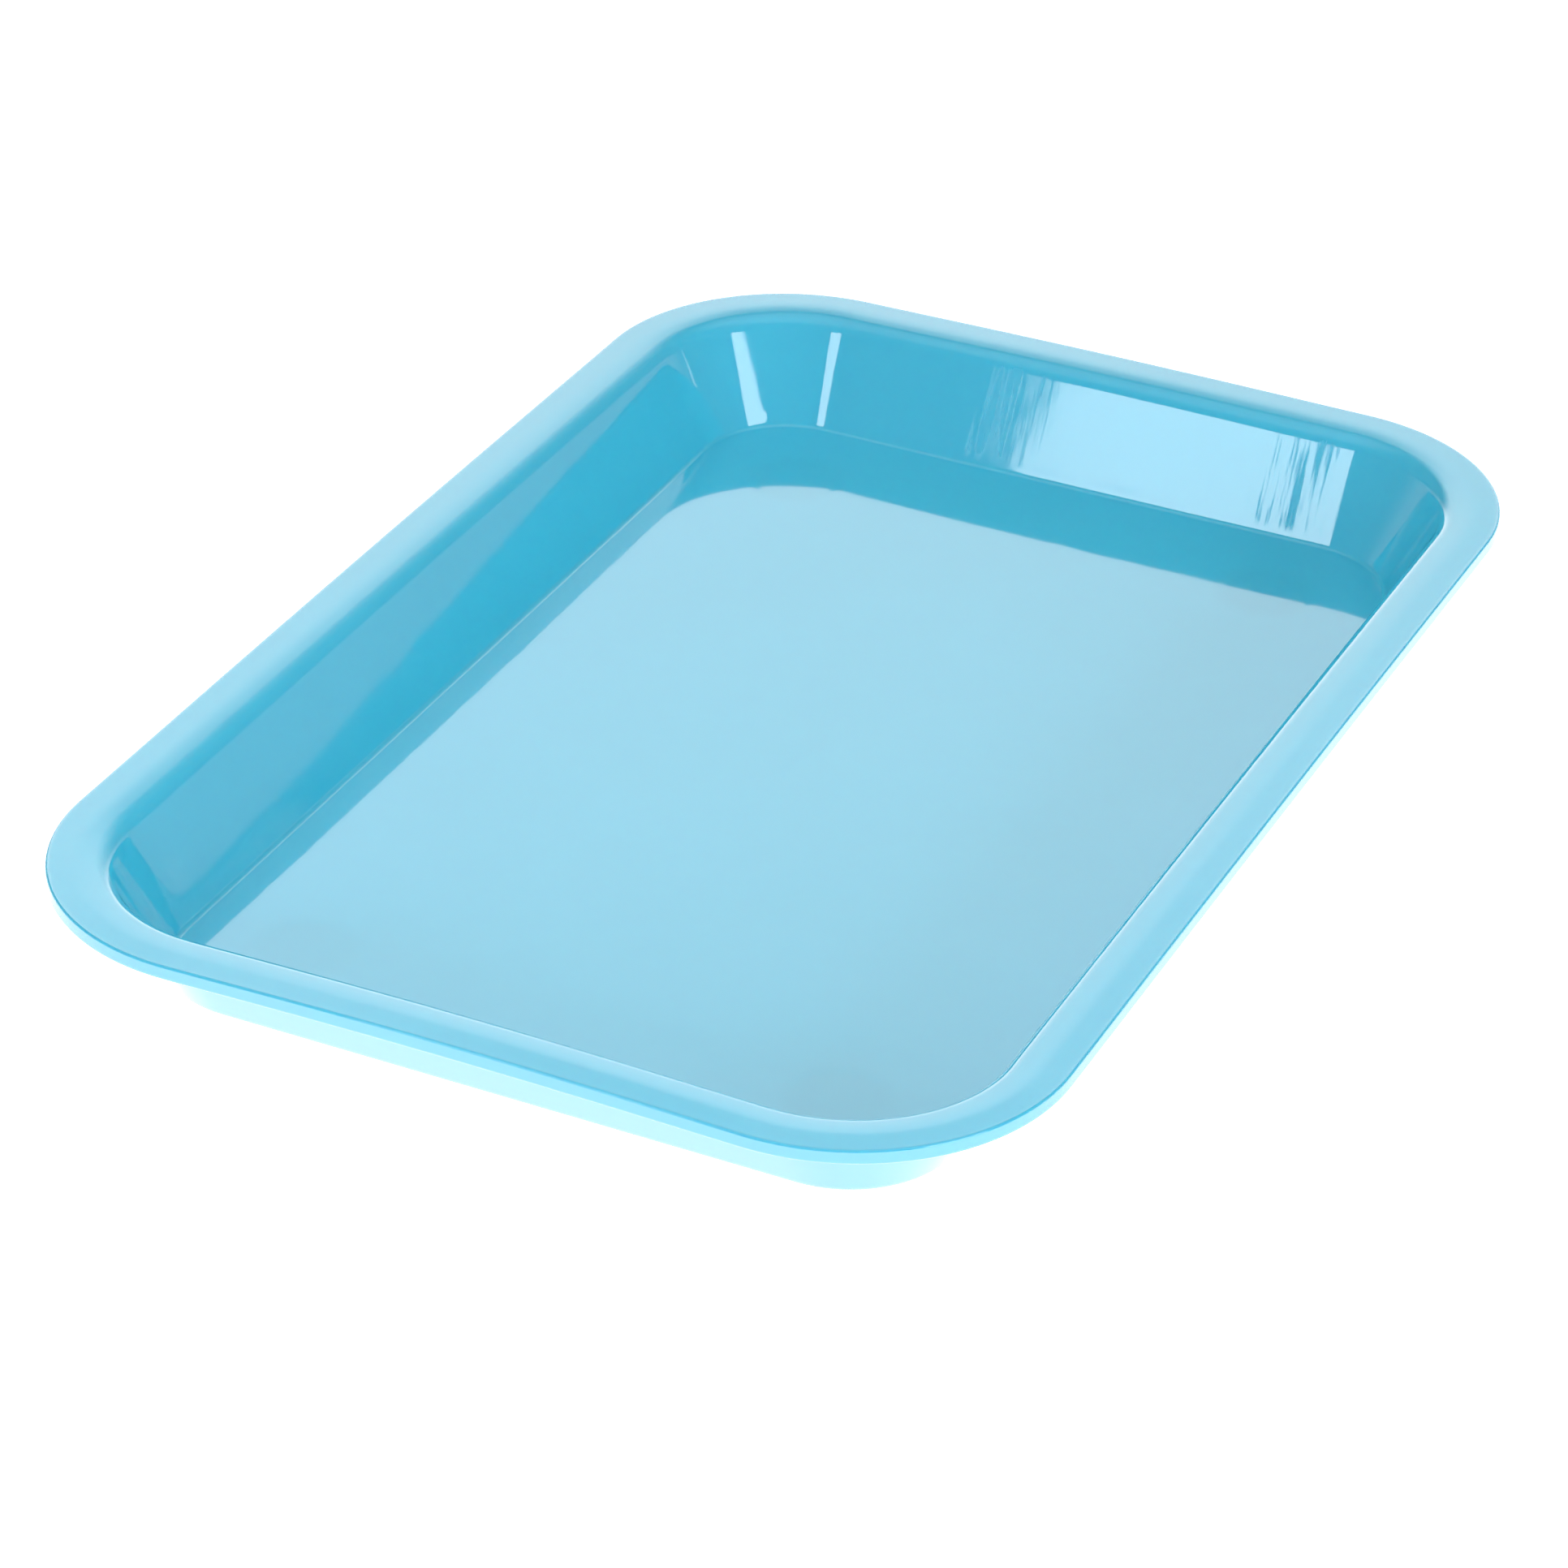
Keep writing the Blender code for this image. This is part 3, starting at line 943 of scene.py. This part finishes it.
class TRAY_OT_pads(Operator):
    """Build the four foot pads"""

    bl_idname = "tray.build_pads"
    bl_label = "Foot pads"

    def execute(self, context):
        """Make a pad in each seat."""
        settings = context.scene
        material = rubber_material(settings.tray_finish)
        for node, place in zip(PAD_NODES, foot_places()):
            mesh = build_pad_mesh(settings.tray_feet, place)
            add_piece(node.replace("foot_pad", "grip_pad"), mesh, material, node)
        return {'FINISHED'}


class TRAY_OT_stage(Operator):
    """Build the light table, the lights and the camera"""

    bl_idname = "tray.build_stage"
    bl_label = "Stage"

    def execute(self, context):
        """Make everything that isn't part of the tray."""
        studio = context.scene.tray_studio
        build_world(studio)
        build_table(studio)
        for name, middle, width, depth, setting, in_gloss in LIGHTS:
            build_soft_box(name, middle, width, depth, getattr(studio, setting), in_gloss)
        build_camera(studio)
        context.scene.view_settings.view_transform = 'Standard'
        return {'FINISHED'}


class VIEW3D_PT_tray(Panel):
    """Lists the operators and their settings"""

    bl_label = "Shallow tray"
    bl_category = "Tray"
    bl_space_type = 'VIEW_3D'
    bl_region_type = 'UI'

    def draw(self, context):
        """Draw the buttons, with each group of settings under them."""
        layout = self.layout
        for operator in (TRAY_OT_shell, TRAY_OT_pads, TRAY_OT_stage):
            layout.operator(operator.bl_idname)
        for group in (context.scene.tray_shape, context.scene.tray_feet, context.scene.tray_finish,
                      context.scene.tray_studio):
            box = layout.box()
            for name in group.bl_rna.properties.keys():
                if name not in {"rna_type", "name"}:
                    box.prop(group, name)


CLASSES = (TrayShape, FootShape, Finish, Studio, TRAY_OT_shell, TRAY_OT_pads, TRAY_OT_stage,
           VIEW3D_PT_tray)
SETTINGS = {"tray_shape": TrayShape, "tray_feet": FootShape, "tray_finish": Finish,
            "tray_studio": Studio}


def register():
    """Register the classes and give the scene its settings."""
    for item in CLASSES:
        bpy.utils.register_class(item)
    for name, group in SETTINGS.items():
        setattr(bpy.types.Scene, name, PointerProperty(type=group))


def unregister():
    """Undo register()."""
    for name in SETTINGS:
        delattr(bpy.types.Scene, name)
    for item in reversed(CLASSES):
        bpy.utils.unregister_class(item)


def main():
    """Build everything."""
    register()
    bpy.ops.tray.build_shell()
    bpy.ops.tray.build_pads()
    bpy.ops.tray.build_stage()


if __name__ == "__main__":
    main()
